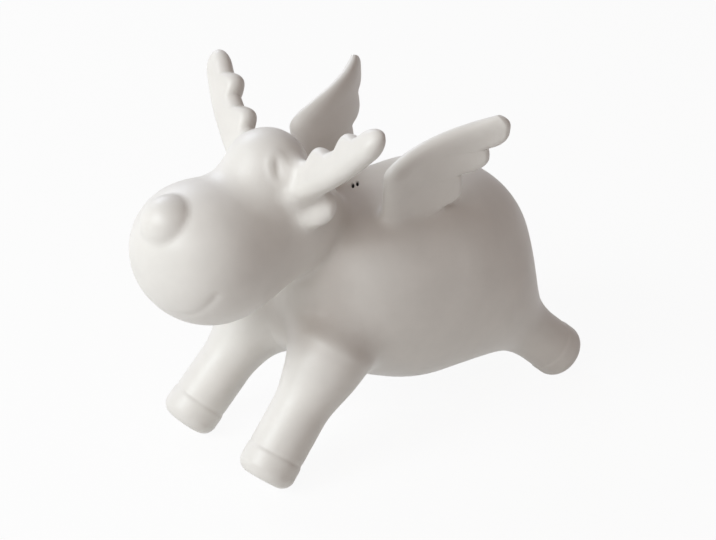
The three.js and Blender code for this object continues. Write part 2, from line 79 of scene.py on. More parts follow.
# Face
NOSE_SIZE = 13.6
NOSE_SEAT = (6, 46.5)  # seen from the middle of the muzzle
NOSE_SINK = 3.6  # how far its middle lies inside the muzzle
EYE_SEAT = (72, 26)  # seen from the middle of the cranium
EYE_WIDTH = 4.2
EYE_HEIGHT = 6.6
EYE_RIM = 0.2  # how far the rim stands up
EYE_RIM_SPREAD = 0.4  # how far the rim spreads, as a share of the eye
PUPIL_WIDTH = 1.9
PUPIL_HEIGHT = 4.4
PUPIL_DEPTH = 0.28
PUPIL_EDGE = (0.1, 1.4)  # where its hollow starts to rise and ends, as shares of its size
SMILE_END = (63, -9)  # seen from the middle of the muzzle
SMILE_MIDDLE = -35  # height of the smile under the nose, in degrees
SMILE_BEND = 4  # power of the curve: higher keeps it flat for longer
SMILE_WIDTH = 2.2
SMILE_DEPTH = 0.3
SMILE_FAINTEST = 0.2  # its depth in the middle, as a share of that at its corners
SMILE_BACK = 6  # no crease lies further behind the middle of the muzzle

# Antlers and ears
ANTLER_SEAT = (98, -1)  # seen from the middle of the cranium
ANTLER_WAY = (108, 37.5)
ANTLER_LENGTH = 29.3
ANTLER_ROLL = -35  # degrees, turns the tines back
ANTLER_ROOT_WIDTH = 9.6
ANTLER_TIP_WIDTH = 6.4
ANTLER_THICKNESS = 5.2
ANTLER_SAG = 1.4  # how far its middle line hangs below a straight one
ANTLER_END = 4.8  # length of the round end
ANTLER_SINK = 5  # how far the root goes on inside the head
TINE_HEIGHT = 2.3
TINE_WIDTH = 6.4
TINE_PLACES = (8.8, 18.4)  # along the antler from its root
EAR_SEAT = (107, -14)  # seen from the middle of the cranium
EAR_WAY = (108, -38)
EAR_ROLL = -20  # degrees, turns its upper edge back
EAR_LENGTH = 9
EAR_ROOT_WIDTH = 9.4
EAR_WIDTH = 10
EAR_THICKNESS = 4.6
EAR_END = 4.4  # length of the round end
EAR_SINK = 4
ROOT_TAPER = 0.5  # share by which a root is drawn in as it goes into the head
BLADE_EDGE = 0.45  # most of a blade's chord that one round edge takes

# Wings: places of the front corner of the root, how deep it lies in the body, and the degrees that
# it leans outwards at the top and is pitched up at the tip
LEFT_WING = {"across": 12.3, "forward": 20.1, "depth": 2.3, "lean": 16, "pitch": -3}
RIGHT_WING = {"across": 15.6, "forward": 24.2, "depth": -3.1, "lean": 5, "pitch": 3}
WING_TOE = -5  # degrees outwards at the rear of the root
WING_CUP = 44  # degrees that it turns further outwards from its front to its tip
WING_RISE = 27.2
WING_ELBOW_RISE = 19.6
WING_ELBOW_FORWARD = 3.2
WING_TIP_BACK = 25.6
WING_ELBOW_ROUND = 18  # length of the top edge that the rounded elbow takes
WING_TIP_ROUND = 3.4  # height of the round end
WING_LEAD_ROUND = 4.5  # how far its leading edge's round reaches over the face
WING_ROOT_CHORD = 9
WING_ROOT_RISE = 5  # where the lower feather has left the root
FEATHER_RISE = (10.8, 18)  # heights of the steps between the feathers
FEATHER_REACH = (20.6, 25.6, 29)  # how far back each feather ends
FEATHER_NOTCH = 1  # depth of a step
FEATHER_TUCK = 4  # power of the curve that draws a feather's upper corner in
FEATHER_SPRING = 4  # height over which a feather swells out of its step
WING_LEAD_THICKNESS = 5
WING_TRAIL_THICKNESS = 2.6
WING_LEAST_CHORD = 0.05
WING_SINK = 6

# Legs and tail
HOOF_RADIUS = 7.2
HOOF_HEIGHT = 7
HOOF_EDGE = 3.2  # rounding of the sole's rim
HOOF_GROOVE = 0.2  # depth of the groove above the hoof
HOOF_GROOVE_SPREAD = 0.55
HOOF_STEP = (-0.5, 0.8)  # where its size runs into the shank's, from its top
SHANK_RADIUS = 7
SHANK_LENGTH = 18
THIGH_RADIUS = 9.6
THIGH_SWELL = 15  # length over which the shank grows to the thigh
THIGH_DOME = 4.5  # height of its round top, inside the body
GROUND_FLAT = 0.6  # how much is ground off the lowest point of a hoof
FRONT_HIP = (14, -37, -5.7)  # from the middle of the barrel
FRONT_LEFT_SOLE = (-23.6, 16.8)  # stride from the hip, and place across
FRONT_RIGHT_SOLE = (-24.5, 15.6)
REAR_HIP = (13, 12.7, -7.8)
REAR_SOLE = (24, 19.5)
TAIL_SEAT = (180, 2)
TAIL_WAY = (180, 16)
TAIL_LENGTH = 4
TAIL_RADIUS = 2.8
TAIL_SINK = 4

# How far the sponged slip reaches from each joint
NECK_SLIP = 2
FRONT_LEG_SLIP = 9
REAR_LEG_SLIP = 12
WING_SLIP = 2.5
TAIL_SLIP = 4
NOSE_SLIP = 0.8
ANTLER_SLIP = 4
EAR_SLIP = 4
EAR_TO_ANTLER_SLIP = 4
SLIP_SWELL = 0.6  # most that a skin lifts by, as a share of the slip's reach
SLIP_DIVE = 0.3  # how steeply a skin goes under in the other piece's half
SLIP_PUSH = 0.15  # and how deep, as a share of the reach

# Fineness of the meshes
BODY_RADIUS = 30  # about, to space the body's rings
BODY_STEP = 0.5
FIRST_RING = 0.03  # from the withers
LAST_RING = 1  # from the far pole, at most
BODY_COLUMNS = 330
HOLE_STEP = 0.08  # between the rings round the thread holes
HOLE_FIELD = 2.2  # how far from the withers these rings go
HOLE_STEP_GROWTH = 1.1  # from each step to the next beyond that
HEAD_RINGS = 250
HEAD_COLUMNS = 340
HEAD_POLE = 0.006  # turn from a pole to the first ring
NOSE_RINGS = 110
NOSE_COLUMNS = 160
POLE = 0.01
SMILE_STEPS = 160
ANTLER_STEPS = 180
EAR_STEPS = 80
WING_STEPS = 180
BLADE_EDGE_STEPS = 8
BLADE_FACE_STEPS = 16
LEG_STEP = 0.3
LEG_SIDES = 120
HOOF_EDGE_STEPS = 12
THIGH_DOME_STEPS = 24
TAIL_STEPS = 40
TAIL_SIDES = 60
STATION_POWER = 1.6  # higher draws a limb's rings closer together at its end
LEAST_END = 0.02  # share of a limb's size that its last ring keeps
SURFACE_PASSES = 40  # of a search for a skin
SPONGE_PASSES = 10
FAR_OUT = 150.0  # beyond any casting's skin
SLOPE_STEP = 0.05  # to measure a gap's slope
TINY = 1e-9  # keeps a division from zero

# Studio
CAMERA_BEARING = 52
CAMERA_HEIGHT = 28
CAMERA_DISTANCE = 450
PICTURE_WIDTH = 179  # across the picture at the target
TARGET_FORWARD = 18.05  # ahead of the middle of the barrel
TARGET_RISE = 38.8
SOFTBOX_DISTANCE = 950
SOFTBOX_SIZE = 450
SOFTBOXES = (  # watts, colour, bearing and height
    ("left_softbox", 5.1, "f4fcff", -8, 35),
    ("front_softbox", 1.6, "ffffff", 22, 35),
    ("back_softbox", 2.3, "e6efff", -98, 35),
)
FILL_COLOUR = "ffe4d6"
FILL_STRENGTH = 0.19
PAPER_WHITE = 0.93  # share of plain white in what is seen of the paper
BACKDROP_WHITE = 0.945  # as white as the paper is far away
FLOOR_RADIUS = 3000

UP = np.array([0.0, 0.0, 1.0])


def unit(v):
    """The same ways at a length of 1."""
    return v / np.linalg.norm(v, axis=-1, keepdims=True)


def way(bearing, height):
    """The way at a bearing and a height."""
    b, h = math.radians(bearing), math.radians(height)
    return np.array([math.sin(b) * math.cos(h), -math.cos(b) * math.cos(h), math.sin(h)])


def smooth(x, low, high):
    """0 below low, 1 above high, with a smooth rise between them."""
    s = np.clip((x - low) / (high - low), 0, 1)
    return s * s * (3 - 2 * s)


# Castings: ellipsoids that flow together

def beyond(points, mass):
    """About how far points lie outside an ellipsoid."""
    middle, sizes, pitch = mass
    c, s = math.cos(math.radians(pitch)), math.sin(math.radians(pitch))
    level = np.array([[1, 0, 0], [0, c, -s], [0, s, c]])
    half = np.array(sizes) / 2
    arm = (points - middle) @ level.T / half
    share = np.linalg.norm(arm, axis=-1)
    return share * (share - 1) / np.maximum(np.linalg.norm(arm / half, axis=-1), TINY)


def outside(casting, points):
    """About how far points lie outside a casting."""
    gap = beyond(points, casting["masses"][0])
    for mass in casting["masses"][1:]:
        other = beyond(points, mass)
        near = np.maximum(0, 1 - np.abs(gap - other) / casting["blend"])
        gap = np.minimum(gap, other) - casting["blend"] / 4 * near ** 2
    return gap


def casting_points(casting, directions):
    """Where rays from a casting's origin come out of it."""
    inner, outer = np.zeros(len(directions)), np.full(len(directions), FAR_OUT)
    for _ in range(SURFACE_PASSES):
        middle = (inner + outer) / 2
        within = outside(casting, casting["origin"] + directions * middle[:, None]) < 0
        inner, outer = np.where(within, middle, inner), np.where(within, outer, middle)
    return casting["origin"] + directions * inner[:, None]


def surface_point(casting, start, direction):
    """Where a line from inside a casting comes out of it."""
    point = start.copy()
    for _ in range(SURFACE_PASSES):
        point = point - direction * outside(casting, point)
    return point


barrel_middle = np.array([0, BARREL_BACK, BELLY_CLEARANCE + BARREL[2] / 2])
chest_middle = barrel_middle + (0, -CHEST_FORWARD, CHEST_RISE)
neck_middle = chest_middle + (0, -NECK_FORWARD, NECK_RISE)
muzzle_middle = neck_middle + (0, -MUZZLE_FORWARD, -MUZZLE_DROP)
cranium_middle = neck_middle + (0, CRANIUM_BACK, CRANIUM_RISE)
body_casting = {
    "origin": barrel_middle + (0, -CHEST_FORWARD / 2, 0),
    "masses": [(barrel_middle, BARREL, 0), (chest_middle, CHEST, 0)],
    "blend": BODY_BLEND,
}
head_casting = {
    "origin": (muzzle_middle + cranium_middle + neck_middle) / 3,
    "masses": [
        (muzzle_middle, MUZZLE, MUZZLE_PITCH),
        (neck_middle, NECK, 0),
        (cranium_middle, CRANIUM, 0),
    ],
    "blend": HEAD_BLEND,
}


# Meshes as points and faces

def loft(rings):
    """Skins a row of rings and closes both ends with a fan."""
    sides = len(rings[0])
    points = np.concatenate(rings + [rings[0].mean(0, keepdims=True), rings[-1].mean(0, keepdims=True)])
    faces = []
    for i in range(len(rings) - 1):
        for k in range(sides):
            n = (k + 1) % sides
            faces.append((i * sides + k, i * sides + n, (i + 1) * sides + n, (i + 1) * sides + k))
    start, last = len(points) - 2, (len(rings) - 1) * sides
    for k in range(sides):
        n = (k + 1) % sides
        faces.append((start, n, k))
        faces.append((start + 1, last + k, last + n))
    return points, faces


def globe(turns, columns, axis):
    """Directions on a ball, in rings at the given turns from an axis, with a fan at each pole."""
    side = unit(np.cross(axis, (1.0, 0.2, 0.1)))  # any way that isn't along an axis used here
    other = np.cross(axis, side)
    spin = np.linspace(0, 2 * math.pi, columns, endpoint=False)
    rim = np.outer(np.cos(spin), side) + np.outer(np.sin(spin), other)
    points, faces = loft([math.cos(t) * axis + math.sin(t) * rim for t in turns[::-1]])
    return unit(points), faces


def normals(points, faces):
    """The way out of a mesh at each of its points."""
    total = np.zeros_like(points)
    quads = np.array([f if len(f) == 4 else (*f, f[2]) for f in faces])
    cross = np.cross(points[quads[:, 2]] - points[quads[:, 0]], points[quads[:, 3]] - points[quads[:, 1]])
    for corner in range(4):
        np.add.at(total, quads[:, corner], cross)
    return unit(total)


def mirrored(points, faces):
    """The same mesh on the animal's other side."""
    return points * (-1, 1, 1), [f[::-1] for f in faces]


# Sponged slip: where two pieces meet, the skin of each lifts to one hollow curve between them

def mesh_gap(points, faces):
    """A function that gives how far spots lie outside a mesh."""
    tree = BVHTree.FromPolygons(points.tolist(), faces)

    def gap(spots):
        away = []
        for spot in spots:
            point = Vector(spot)
            near, normal, _, distance = tree.find_nearest(point)
            away.append(math.copysign(distance, (point - near).dot(normal)))
        return np.array(away)

    return gap


def blend(fields, reaches):
    """The smooth least of the three lowest fields at each point, the same whichever piece asks."""
    order = np.argsort(fields, axis=0)[:3]
    fields = np.take_along_axis(fields, order, 0)
    reaches = np.minimum.accumulate(reaches[order], 0)
    least = fields[0]
    for field, reach in zip(fields[1:], reaches[1:]):
        hollow = reach / 4 * np.maximum(0, 1 - np.abs(least - field) / reach) ** 2
        least = np.minimum(least, field) - hollow
    return least


def sponge(piece, joints):
    """Lifts a piece's skin to the slip of its joints, each given as the other piece's gap, its corners
    and the slip's reach. In the other piece's half of the slip the skin is pushed under, so that each
    half shows one skin."""
    points, faces = piece
    outward = normals(points, faces)
    reaches = np.array([np.inf] + [reach for _, _, reach in joints])
    low, high = np.zeros(len(points)), np.zeros(len(points))
    met = []
    for gap, (lowest, highest), reach in joints:
        near = np.flatnonzero(((points > lowest - reach) & (points < highest + reach)).all(1))
        near = near[np.abs(gap(points[near])) < reach]
        high[near] = np.maximum(high[near], SLIP_SWELL * reach)
        met.append((gap, reach, near))
    for _ in range(SPONGE_PASSES):
        lift = (low + high) / 2
        spots = points + outward * lift[:, None]
        fields = np.full((len(reaches), len(points)), np.inf)
        fields[0] = lift
        for row, (gap, _, near) in enumerate(met, 1):
            fields[row, near] = gap(spots[near])
        within = blend(fields, reaches) < 0
        low, high = np.where(within, lift, low), np.where(within, high, lift)
    moved = points + outward * low[:, None]
    for gap, reach, near in met:
        excess = low[near] - gap(moved[near])
        under, excess = near[excess > 0], excess[excess > 0]
        slope = [gap(moved[under] + step) - gap(moved[under] - step) for step in SLOPE_STEP * np.eye(3)]
        push = np.minimum(SLIP_DIVE * excess ** 2 / reach, SLIP_PUSH * reach)
        moved[under] -= unit(np.stack(slope, 1) + TINY) * push[:, None]
    return moved, faces


# Body

def body_turns():
    """Turns of the body's rings from the withers, closest together round the thread holes."""
    step, places = HOLE_STEP, [FIRST_RING]
    while places[-1] < math.pi * BODY_RADIUS - LAST_RING:
        if places[-1] > HOLE_FIELD:
            step = min(BODY_STEP, step * HOLE_STEP_GROWTH)
        places.append(places[-1] + step)
    return np.array(places) / places[-1] * (math.pi - POLE)


def body_mesh():
    withers = surface_point(body_casting, barrel_middle + (0, -THREAD_HOLE_FORWARD, 0), UP)
    directions, faces = globe(body_turns(), BODY_COLUMNS, unit(withers - body_casting["origin"]))
    points = casting_points(body_casting, directions)
    for side in (-1, 1):
        hole = withers + (0, side * THREAD_HOLE_PITCH / 2, 0)
        arm = points - hole
        along, across = arm @ way(NEEDLE_BEARING, 0), arm @ way(NEEDLE_BEARING + 90, 0)
        off = np.hypot(along / THREAD_HOLE_SLANT, across)
        sink = 1 - smooth(off, (THREAD_HOLE - THREAD_HOLE_RIM) / 2, (THREAD_HOLE + THREAD_HOLE_RIM) / 2)
        on_top = points[:, 2] > barrel_middle[2]
        points[:, 2] -= np.where(on_top, THREAD_HOLE_DEPTH * sink, 0)
    return points, faces


# Head

def eye_relief(points):
    """How far the skin stands up round both eyes."""
    relief = np.zeros(len(points))
    for side in (-1, 1):
        out = way(side * EYE_SEAT[0], EYE_SEAT[1])
        up = unit(UP - out * out[2])
        across = np.cross(up, out)
        arm = points - surface_point(head_casting, cranium_middle, out)
        x, y, depth = arm @ across, arm @ up, arm @ out
        near = np.abs(depth) < EYE_HEIGHT
        rim = np.hypot(2 * x / EYE_WIDTH, 2 * y / EYE_HEIGHT)
        pupil = np.hypot(2 * x / PUPIL_WIDTH, 2 * y / PUPIL_HEIGHT)
        relief += near * EYE_RIM * np.exp(-(((rim - 1) / EYE_RIM_SPREAD) ** 2))
        relief -= near * PUPIL_DEPTH * (1 - smooth(pupil, *PUPIL_EDGE))
    return relief


def smile_relief(points):
    """The smile's crease, deepest at its corners."""
    turns = np.linspace(-1, 1, SMILE_STEPS + 1)
    heights = SMILE_MIDDLE + (SMILE_END[1] - SMILE_MIDDLE) * np.abs(turns) ** SMILE_BEND
    ways = [way(turn * SMILE_END[0], height) for turn, height in zip(turns, heights)]
    line = np.array([surface_point(head_casting, muzzle_middle, out) for out in ways])
    relief = np.zeros(len(points))
    front = np.flatnonzero(points[:, 1] < muzzle_middle[1] + SMILE_BACK)
    away = np.linalg.norm(points[front][:, None] - line[None], axis=2)
    corner = turns[away.argmin(1)] ** 2
    depth = SMILE_DEPTH * (SMILE_FAINTEST + (1 - SMILE_FAINTEST) * corner)
    relief[front] = -depth * np.exp(-((away.min(1) / (SMILE_WIDTH / 2)) ** 2))
    return relief


def head_mesh():
    directions, faces = globe(np.linspace(HEAD_POLE, math.pi - HEAD_POLE, HEAD_RINGS), HEAD_COLUMNS, UP)
    points = casting_points(head_casting, directions)
    relief = eye_relief(points) + smile_relief(points)
    return points + normals(points, faces) * relief[:, None], faces


def nose_mesh():
    out = way(*NOSE_SEAT)
    middle = surface_point(head_casting, muzzle_middle, out) - out * NOSE_SINK
    directions, faces = globe(np.linspace(POLE, math.pi - POLE, NOSE_RINGS), NOSE_COLUMNS, out)
    return middle + directions * NOSE_SIZE / 2, faces


# Limbs

def stations(start, end, steps):
    """Places along a limb, drawn together towards its end."""
    return start + (end - start) * (1 - (1 - np.arange(steps + 1) / steps) ** STATION_POWER)


def end_round(along, length, end):
    """The share of a limb's size that is left at a place in its round end."""
    into = max(0, along - length + end) / end
    return math.sqrt(max(LEAST_END ** 2, 1 - into ** 2))


def root_taper(along, sink):
    """Draws a root in as it goes into the head, so that its corners stay under the skin."""
    return 1 + ROOT_TAPER * min(0, along) / sink


def round_limb(start, axis, profile, sides):
    """Rings of the given sizes and places along an axis."""
    across = unit(np.array([1.0, 0, 0]) - axis * axis[0])
    other = np.cross(axis, across)
    spin = np.linspace(0, 2 * math.pi, sides, endpoint=False)
    rim = np.outer(np.cos(spin), across) + np.outer(np.sin(spin), other)
    return loft([start + axis * along + rim * size for size, along in profile])


def leg_mesh(hip_offset, sole_place):
    """A leg from its hip to a sole that is set so low that its heel can be ground flat."""
    hip = barrel_middle + hip_offset
    stride, spread = sole_place
    sole = np.array([spread, hip[1] + stride, 0.0])
    for _ in range(SURFACE_PASSES):
        axis = unit(hip - sole)
        tilt = math.sqrt(1 - axis[2] ** 2)
        sole[2] = (HOOF_RADIUS - HOOF_EDGE) * tilt + HOOF_EDGE * (1 - axis[2]) - GROUND_FLAT
    length = np.linalg.norm(hip - sole)
    profile = [((HOOF_RADIUS - HOOF_EDGE) * share, 0.0) for share in (0.25, 0.5, 0.75)]
    for turn in np.linspace(0, math.pi / 2, HOOF_EDGE_STEPS + 1):
        profile.append((HOOF_RADIUS - HOOF_EDGE * (1 - math.sin(turn)), HOOF_EDGE * (1 - math.cos(turn))))
    for along in np.arange(HOOF_EDGE + LEG_STEP, length, LEG_STEP):
        past_hoof = along - HOOF_HEIGHT
        over = smooth(past_hoof, *HOOF_STEP)
        swell = smooth(along, SHANK_LENGTH, SHANK_LENGTH + THIGH_SWELL)
        groove = HOOF_GROOVE * math.exp(-((past_hoof / HOOF_GROOVE_SPREAD) ** 2))
        size = HOOF_RADIUS + (SHANK_RADIUS - HOOF_RADIUS) * over + (THIGH_RADIUS - SHANK_RADIUS) * swell
        profile.append((size - groove, along))
    for turn in np.linspace(0, math.pi / 2, THIGH_DOME_STEPS + 1)[:-1]:
        profile.append((THIGH_RADIUS * math.cos(turn), length + THIGH_DOME * math.sin(turn)))
    return round_limb(sole, axis, profile, LEG_SIDES)


def blade_places(lead, trail, lead_thickness, trail_thickness):
    """Places along a blade's chord and its half thickness there, from its lead edge to its trail edge."""
    chord = trail - lead
    a = min(lead_thickness / 2, chord * BLADE_EDGE)
    b = min(trail_thickness / 2, chord * BLADE_EDGE)
    turns = np.linspace(0, math.pi / 2, BLADE_EDGE_STEPS + 1)
    shares = np.linspace(0, 1, BLADE_FACE_STEPS + 1)[1:-1]
    places = [(lead + a - a * math.cos(turn), a * math.sin(turn)) for turn in turns]
    places += [(lead + a + (chord - a - b) * share, a + (b - a) * share) for share in shares]
    places += [(trail - b + b * math.cos(turn), b * math.sin(turn)) for turn in turns[::-1]]
    return np.array(places)


def blade_ring(middle, lift):
    """A ring over a blade's one face and back over the other, from its middle line and half thickness."""
    return np.concatenate([middle + lift, (middle - lift)[-2:0:-1]])


def blade_frame(axis, roll):
    """The way across a blade's chord and the way out of its face, rolled about its axis."""
    level = unit(UP - axis * axis[2])
    turn = math.radians(roll)
    up = level * math.cos(turn) + np.cross(axis, level) * math.sin(turn)
    return up, np.cross(up, axis)


def antler_mesh():
    root = surface_point(head_casting, cranium_middle, way(*ANTLER_SEAT))
    axis = way(*ANTLER_WAY)
    up, face = blade_frame(axis, ANTLER_ROLL)
    rings = []
    for along in stations(-ANTLER_SINK, ANTLER_LENGTH, ANTLER_STEPS):
        share = max(0, along / ANTLER_LENGTH)
        end = end_round(along, ANTLER_LENGTH, ANTLER_END) * root_taper(along, ANTLER_SINK)
        half = (ANTLER_ROOT_WIDTH + (ANTLER_TIP_WIDTH - ANTLER_ROOT_WIDTH) * share) / 2 * end
        off = [min(1, abs(along - place) / (TINE_WIDTH / 2)) for place in TINE_PLACES]
        tine = sum(TINE_HEIGHT * math.cos(math.pi / 2 * o) for o in off)
        middle = root + axis * along - up * ANTLER_SAG * math.sin(math.pi * share)
        thickness = ANTLER_THICKNESS * end
        places, thick = blade_places(-half, half + tine, thickness, thickness).T
        rings.append(blade_ring(middle + np.outer(places, up), np.outer(thick, face)))
    return loft(rings)


def ear_mesh():
    root = surface_point(head_casting, cranium_middle, way(*EAR_SEAT))
    axis = way(*EAR_WAY)
    up, face = blade_frame(axis, EAR_ROLL)
    rings = []
    for along in stations(-EAR_SINK, EAR_LENGTH, EAR_STEPS):
        end = end_round(along, EAR_LENGTH, EAR_END) * root_taper(along, EAR_SINK)
        grown = smooth(along, 0, EAR_LENGTH - EAR_END)
        half = (EAR_ROOT_WIDTH + (EAR_WIDTH - EAR_ROOT_WIDTH) * grown) / 2 * end
        thickness = EAR_THICKNESS * end
        places, thick = blade_places(-half, half, thickness, thickness).T
        rings.append(blade_ring(root + axis * along + np.outer(places, up), np.outer(thick, face)))
    return loft(rings)


def wing_edges(height):
    """How far back a wing's leading and trailing edges lie at a height above its root."""
    upright = -WING_ELBOW_FORWARD * height / WING_ELBOW_RISE
    slope = (WING_TIP_BACK + WING_ELBOW_FORWARD) / (WING_RISE - WING_ELBOW_RISE)
    sloping = (height - WING_ELBOW_RISE) * slope - WING_ELBOW_FORWARD
    near = max(0, 1 - abs(upright - sloping) / WING_ELBOW_ROUND)
    lead = max(upright, sloping) + WING_ELBOW_ROUND / 4 * near ** 2
    feather = sum(height > step for step in FEATHER_RISE)
    floor = FEATHER_RISE[feather - 1] if feather else 0
    ceiling = FEATHER_RISE[feather] if feather < len(FEATHER_RISE) else WING_RISE
    before = FEATHER_REACH[feather - 1] - FEATHER_NOTCH if feather else WING_ROOT_CHORD
    spring = np.clip((height - floor) / (FEATHER_SPRING if feather else WING_ROOT_RISE), 0, 1)
    swell = (FEATHER_REACH[feather] - before) * math.sqrt(1 - (1 - spring) ** 2)
    share = max(0, (height - floor) / (ceiling - floor))
    trail = before + swell - FEATHER_NOTCH * share ** FEATHER_TUCK
    trail -= WING_TIP_ROUND * (1 - end_round(height, WING_RISE, WING_TIP_ROUND))
    return min(lead, trail - WING_LEAST_CHORD), trail


def line_distance(spots, line):
    """How far spots in a plane lie from a line of points."""
    start, run = line[:-1], np.diff(line, axis=0)
    share = np.clip(((spots[:, None] - start) * run).sum(2) / (run * run).sum(1), 0, 1)
    return np.linalg.norm(spots[:, None] - start - run * share[..., None], axis=2).min(1)


def wing_heights():
    """Heights of a wing's rings, drawn together where a feather swells out of its step and at the tip."""
    shares = (0, 0.004, 0.015, 0.04, 0.08, 0.15)
    steps = [step + share * FEATHER_SPRING for step in FEATHER_RISE for share in shares]
    return np.sort(np.concatenate([stations(-WING_SINK, WING_RISE, WING_STEPS), steps]))


def backward(turn):
    """Level ways along a wing, turned from straight back towards the left."""
    return np.column_stack([np.sin(turn), np.cos(turn), 0 * turn])


def wing_mesh(across, forward, depth, lean, pitch):
    """A wing is drawn flat, from its two edges, then pitched and bent round a cup."""
    root = surface_point(body_casting, np.array([across, BARREL_BACK - forward, barrel_middle[2]]), UP)
    root = root - UP * depth
    toe, lean, pitch = math.radians(WING_TOE), math.radians(lean), math.radians(pitch)
    rise = np.array([math.cos(toe) * math.sin(lean), -math.sin(toe) * math.sin(lean), math.cos(lean)])
    cup = math.radians(WING_CUP) / WING_TIP_BACK
    heights = wing_heights()
    edges = np.array([wing_edges(height) for height in heights])
    lead_line, trail_line = [np.column_stack([edges[:, k], heights]) for k in (0, 1)]
    rings = []
    for height, (lead, trail) in zip(heights, edges):
        back = blade_places(lead, trail, WING_LEAD_THICKNESS, WING_TRAIL_THICKNESS)[:, 0]
        spots = np.column_stack([back, np.full(len(back), height)])
        share = (back - lead) / (trail - lead)
        full = (WING_LEAD_THICKNESS + (WING_TRAIL_THICKNESS - WING_LEAD_THICKNESS) * share) / 2
        from_lead = np.minimum(1, line_distance(spots, lead_line) / WING_LEAD_ROUND)
        from_trail = np.minimum(1, line_distance(spots, trail_line) / (WING_TRAIL_THICKNESS / 2))
        thick = full * np.sqrt(1 - (1 - np.minimum(from_lead, from_trail)) ** 2)
        along = back * math.cos(pitch) + height * math.sin(pitch)
        up = height * math.cos(pitch) - back * math.sin(pitch)
        half_turn = cup * along / 2
        straight = along * np.sinc(half_turn / math.pi)
        middle = root + backward(toe + half_turn) * straight[:, None] + np.outer(up, rise)
        face = unit(np.cross(backward(toe + 2 * half_turn), rise))
        rings.append(blade_ring(middle, face * thick[:, None]))
    return loft(rings)


def tail_mesh():
    root = surface_point(body_casting, barrel_middle, way(*TAIL_SEAT))
    places = stations(-TAIL_SINK, TAIL_LENGTH, TAIL_STEPS)
    profile = [(TAIL_RADIUS * end_round(a, TAIL_LENGTH, TAIL_RADIUS), a) for a in places]
    return round_limb(root, way(*TAIL_WAY), profile, TAIL_SIDES)


# Materials

def linear(code):
    """A colour given as sRGB hex, as the linear values that Blender works in."""
    parts = [int(code[i:i + 2], 16) / 255 for i in (0, 2, 4)]
    return [c / 12.92 if c <= 0.04045 else ((c + 0.055) / 1.055) ** 2.4 for c in parts] + [1.0]


def node(tree, kind, inputs=None, **settings):
    """Adds a node with its settings, and sets its inputs or links them to another node's output."""
    made = tree.nodes.new(kind)
    for name, value in settings.items():
        setattr(made, name, value)
    for name, value in (inputs or {}).items():
        if isinstance(value, bpy.types.NodeSocket):
            tree.links.new(value, made.inputs[name])
        else:
            made.inputs[name].default_value = value
    return made


def seen_rays(tree):
    """1 for what the camera sees, straight or in a gloss or a glass, and 0 for light on the figure."""
    light = node(tree, "ShaderNodeLightPath")
    seen = light.outputs["Is Camera Ray"]
    for ray in ("Is Glossy Ray", "Is Transmission Ray"):
        both = node(tree, "ShaderNodeMath", {0: seen, 1: light.outputs[ray]}, operation="MAXIMUM")
        seen = both.outputs["Value"]
    return seen


def bisque_porcelain():
    """White bisque porcelain, sponged smooth and fired without a glaze. The eye sees a matt, slightly
    waxy white with a soft satin sheen, cloudy patches from the sponge and a fine grain. In the thread
    holes the walls are painted near black, a painted shade for the dark hollow inside."""
    made = bpy.data.materials.new("bisque_porcelain")
    made.use_nodes = True
    tree = made.node_tree
    shader = tree.nodes["Principled BSDF"]
    place = node(tree, "ShaderNodeTexCoord").outputs["Object"]
    sponge_mm = 9.0
    grain_mm = 0.8  # drawn coarser than the clay's grain, so that it shows
    clouds = node(tree, "ShaderNodeTexNoise", {
        "Vector": place, "Scale": 1 / (sponge_mm * MM), "Detail": 3.0, "Roughness": 0.55})
    grain = node(tree, "ShaderNodeTexNoise", {
        "Vector": place, "Scale": 1 / (grain_mm * MM), "Detail": 2.0, "Roughness": 0.6})
    tint = node(tree, "ShaderNodeValToRGB", {"Fac": clouds.outputs["Fac"]})
    tint.color_ramp.elements[0].position = 0.3
    tint.color_ramp.elements[0].color = linear("e6e3de")
    tint.color_ramp.elements[1].position = 0.7
    tint.color_ramp.elements[1].color = linear("ece9e4")
    # Painted shade: the hole mask turns the thread holes' walls near black (1a1715), standing in for the
    # unlit hollow inside
    hollow = node(tree, "ShaderNodeAttribute", attribute_name="hollow")
    colour = node(tree, "ShaderNodeMix", {
        0: hollow.outputs["Fac"], 6: tint.outputs["Color"], 7: linear("1a1715")}, data_type="RGBA")
    tree.links.new(colour.outputs[2], shader.inputs["Base Color"])
    sheen = node(tree, "ShaderNodeMapRange", {
        "Value": clouds.outputs["Fac"], "From Min": 0.3, "From Max": 0.7, "To Min": 0.38, "To Max": 0.48})
    tree.links.new(sheen.outputs["Result"], shader.inputs["Roughness"])
    height = node(tree, "ShaderNodeMath", {
        0: clouds.outputs["Fac"], 1: grain.outputs["Fac"]}, operation="ADD")
    bump = node(tree, "ShaderNodeBump", {
        "Height": height.outputs["Value"], "Strength": 0.12, "Distance": 0.1 * MM})
    tree.links.new(bump.outputs["Normal"], shader.inputs["Normal"])
    shader.inputs["IOR"].default_value = 1.5
    shader.inputs["Specular IOR Level"].default_value = 0.5
    return made


def studio_paper():
    """Matt white paper sweep. The eye sees plain white with the figure's soft shadow on it."""
    made = bpy.data.materials.new("studio_paper")
    made.use_nodes = True
    tree = made.node_tree
    tree.nodes.clear()
    share = node(tree, "ShaderNodeMath", {0: seen_rays(tree), 1: PAPER_WHITE}, operation="MULTIPLY")
    paper = node(tree, "ShaderNodeBsdfDiffuse", {"Color": linear("ededeb")})
    white = node(tree, "ShaderNodeEmission", {"Color": linear("ffffff"), "Strength": 1.0})
    mix = node(tree, "ShaderNodeMixShader", {
        0: share.outputs["Value"], 1: paper.outputs["BSDF"], 2: white.outputs["Emission"]})
    node(tree, "ShaderNodeOutputMaterial", {"Surface": mix.outputs["Shader"]})
    return made


# Assembly

bisque = bisque_porcelain()


